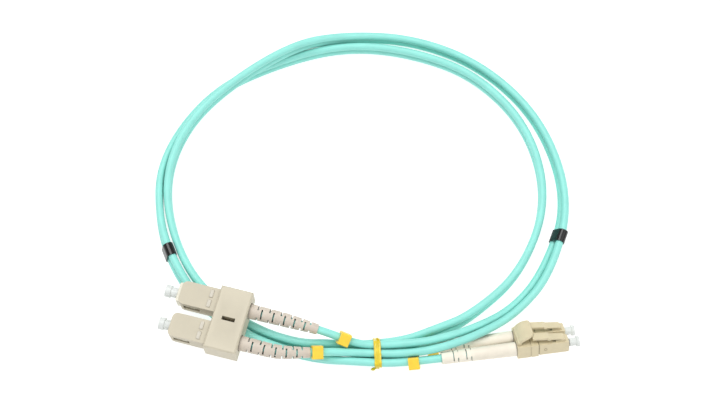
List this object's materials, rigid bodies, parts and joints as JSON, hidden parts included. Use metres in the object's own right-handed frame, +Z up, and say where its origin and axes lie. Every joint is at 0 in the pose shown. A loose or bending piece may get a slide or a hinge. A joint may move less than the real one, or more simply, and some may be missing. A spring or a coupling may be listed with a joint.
{
  "type": "fiber optic patch cord",
  "caption": "Duplex fibre patch cord in two loose turns, tied once, with an SC duplex plug at one end and an LC duplex plug with its trigger at the other, all capped.",
  "frame": {"origin": "on the plane the cord lies on, midway between the SC plug and the LC plug", "axes": "+X from the SC end to the LC end, +Y from the plugs into the coil, +Z up"},
  "size_m": [0.1626, 0.1436, 0.0164],
  "materials": {
    "cable_jacket": "satin PVC jacket, aqua",
    "black_sleeve": "glossy heat-shrink tube",
    "yellow_marker": "yellow moulded clip",
    "tie_plastic": "yellow-green film",
    "steel_wire": "thin core wire",
    "sc_housing_plastic": "satin beige moulding",
    "sc_clip_plastic": "satin beige moulding",
    "sc_frame_plastic": "cream moulding",
    "zirconia": "polished",
    "nickel_brass": "nickel plated",
    "spring_steel": "drawn wire",
    "stop_plastic": "moulding",
    "crimp_metal": "crimped tube",
    "buffered_fibre": "tight buffer coating",
    "sc_boot_rubber": "satin pinkish beige",
    "lc_boot_rubber": "satin ivory",
    "lc_plastic": "satin tan moulding",
    "cap_plastic": "translucent white polyethylene"
  },
  "bodies": {
    "cord": {"cord_strand_a": "cable_jacket", "cord_strand_b": "cable_jacket", "sc_split_sleeve": "black_sleeve", "lc_split_sleeve": "black_sleeve", "sc_marker_a": "yellow_marker", "sc_marker_b": "yellow_marker", "lc_marker_a": "yellow_marker", "lc_marker_b": "yellow_marker", "tie_strip": "tie_plastic", "tie_wire": "steel_wire", "sc_plug_frame_a": "sc_frame_plastic", "sc_spring_a": "spring_steel", "lc_spring_a": "spring_steel", "sc_rear_body_a": "stop_plastic", "lc_rear_body_a": "stop_plastic", "sc_crimp_sleeve_a": "crimp_metal", "lc_crimp_sleeve_a": "crimp_metal", "sc_fibre_a": "buffered_fibre", "lc_fibre_a": "buffered_fibre", "sc_boot_a": "sc_boot_rubber", "lc_boot_a": "lc_boot_rubber", "lc_housing_a": "lc_plastic", "sc_plug_frame_b": "sc_frame_plastic", "sc_spring_b": "spring_steel", "lc_spring_b": "spring_steel", "sc_rear_body_b": "stop_plastic", "lc_rear_body_b": "stop_plastic", "sc_crimp_sleeve_b": "crimp_metal", "lc_crimp_sleeve_b": "crimp_metal", "sc_fibre_b": "buffered_fibre", "lc_fibre_b": "buffered_fibre", "sc_boot_b": "sc_boot_rubber", "lc_boot_b": "lc_boot_rubber", "lc_housing_b": "lc_plastic", "lc_duplex_clip": "lc_plastic"},
    "sc_grip": {"sc_outer_housing_a": "sc_housing_plastic", "sc_outer_housing_b": "sc_housing_plastic", "sc_clip_upper": "sc_clip_plastic", "sc_clip_lower": "sc_clip_plastic"},
    "sc_ferrule_body_a": {"sc_ferrule_a": "zirconia", "sc_ferrule_holder_a": "nickel_brass"},
    "sc_cap_body_a": {"sc_dust_cap_a": "cap_plastic"},
    "sc_ferrule_body_b": {"sc_ferrule_b": "zirconia", "sc_ferrule_holder_b": "nickel_brass"},
    "sc_cap_body_b": {"sc_dust_cap_b": "cap_plastic"},
    "lc_ferrule_body_a": {"lc_ferrule_a": "zirconia", "lc_ferrule_holder_a": "nickel_brass"},
    "lc_cap_body_a": {"lc_dust_cap_a": "cap_plastic"},
    "lc_ferrule_body_b": {"lc_ferrule_b": "zirconia", "lc_ferrule_holder_b": "nickel_brass"},
    "lc_cap_body_b": {"lc_dust_cap_b": "cap_plastic"},
    "lc_latch_body_a": {"lc_latch_a": "lc_plastic"},
    "lc_latch_body_b": {"lc_latch_b": "lc_plastic"},
    "lc_trigger_body": {"lc_clip_trigger": "lc_plastic"}
  },
  "joints": [
    {"name": "sc_grip_slide", "type": "slide", "parent": "cord", "child": "sc_grip", "axis": [0.9686, -0.2487, 0], "range_m": [0, 0.0015]},
    {"name": "sc_ferrule_slide_a", "type": "slide", "parent": "cord", "child": "sc_ferrule_body_a", "axis": [0.9686, -0.2487, 0], "range_m": [0, 0.001], "stiffness_N_per_m": 800, "deforming": ["sc_spring_a"]},
    {"name": "sc_cap_pull_a", "type": "slide", "parent": "sc_ferrule_body_a", "child": "sc_cap_body_a", "axis": [-0.9686, 0.2487, 0], "range_m": [0, 0.012]},
    {"name": "sc_ferrule_slide_b", "type": "slide", "parent": "cord", "child": "sc_ferrule_body_b", "axis": [0.9686, -0.2487, 0], "range_m": [0, 0.001], "stiffness_N_per_m": 800, "deforming": ["sc_spring_b"]},
    {"name": "sc_cap_pull_b", "type": "slide", "parent": "sc_ferrule_body_b", "child": "sc_cap_body_b", "axis": [-0.9686, 0.2487, 0], "range_m": [0, 0.012]},
    {"name": "lc_ferrule_slide_a", "type": "slide", "parent": "cord", "child": "lc_ferrule_body_a", "axis": [-0.9917, -0.1288, 0], "range_m": [0, 0.0008], "stiffness_N_per_m": 800, "deforming": ["lc_spring_a"]},
    {"name": "lc_cap_pull_a", "type": "slide", "parent": "lc_ferrule_body_a", "child": "lc_cap_body_a", "axis": [0.9917, 0.1288, 0], "range_m": [0, 0.006]},
    {"name": "lc_ferrule_slide_b", "type": "slide", "parent": "cord", "child": "lc_ferrule_body_b", "axis": [-0.9917, -0.1288, 0], "range_m": [0, 0.0008], "stiffness_N_per_m": 800, "deforming": ["lc_spring_b"]},
    {"name": "lc_cap_pull_b", "type": "slide", "parent": "lc_ferrule_body_b", "child": "lc_cap_body_b", "axis": [0.9917, 0.1288, 0], "range_m": [0, 0.006]},
    {"name": "lc_trigger_hinge", "type": "hinge", "parent": "cord", "child": "lc_trigger_body", "pos_m": [0.05498, -0.00477, 0.00821], "axis": [-0.1104, 0.85, -0.515], "range_deg": [0, 10], "stiffness_Nm_per_rad": 0.02},
    {"name": "lc_latch_hinge_a", "type": "hinge", "parent": "cord", "child": "lc_latch_body_a", "pos_m": [0.07082, -0.00024, 0.00621], "axis": [0.1104, -0.85, 0.515], "range_deg": [0, 4.7], "stiffness_Nm_per_rad": 0.01},
    {"name": "lc_latch_hinge_b", "type": "hinge", "parent": "cord", "child": "lc_latch_body_b", "pos_m": [0.07151, -0.00556, 0.00943], "axis": [0.1104, -0.85, 0.515], "range_deg": [0, 4.7], "stiffness_Nm_per_rad": 0.01}
  ],
  "couplings": [
    {"joint": "lc_latch_hinge_a", "follows": "lc_trigger_hinge", "ratio": 0.464},
    {"joint": "lc_latch_hinge_b", "follows": "lc_trigger_hinge", "ratio": 0.464}
  ]
}
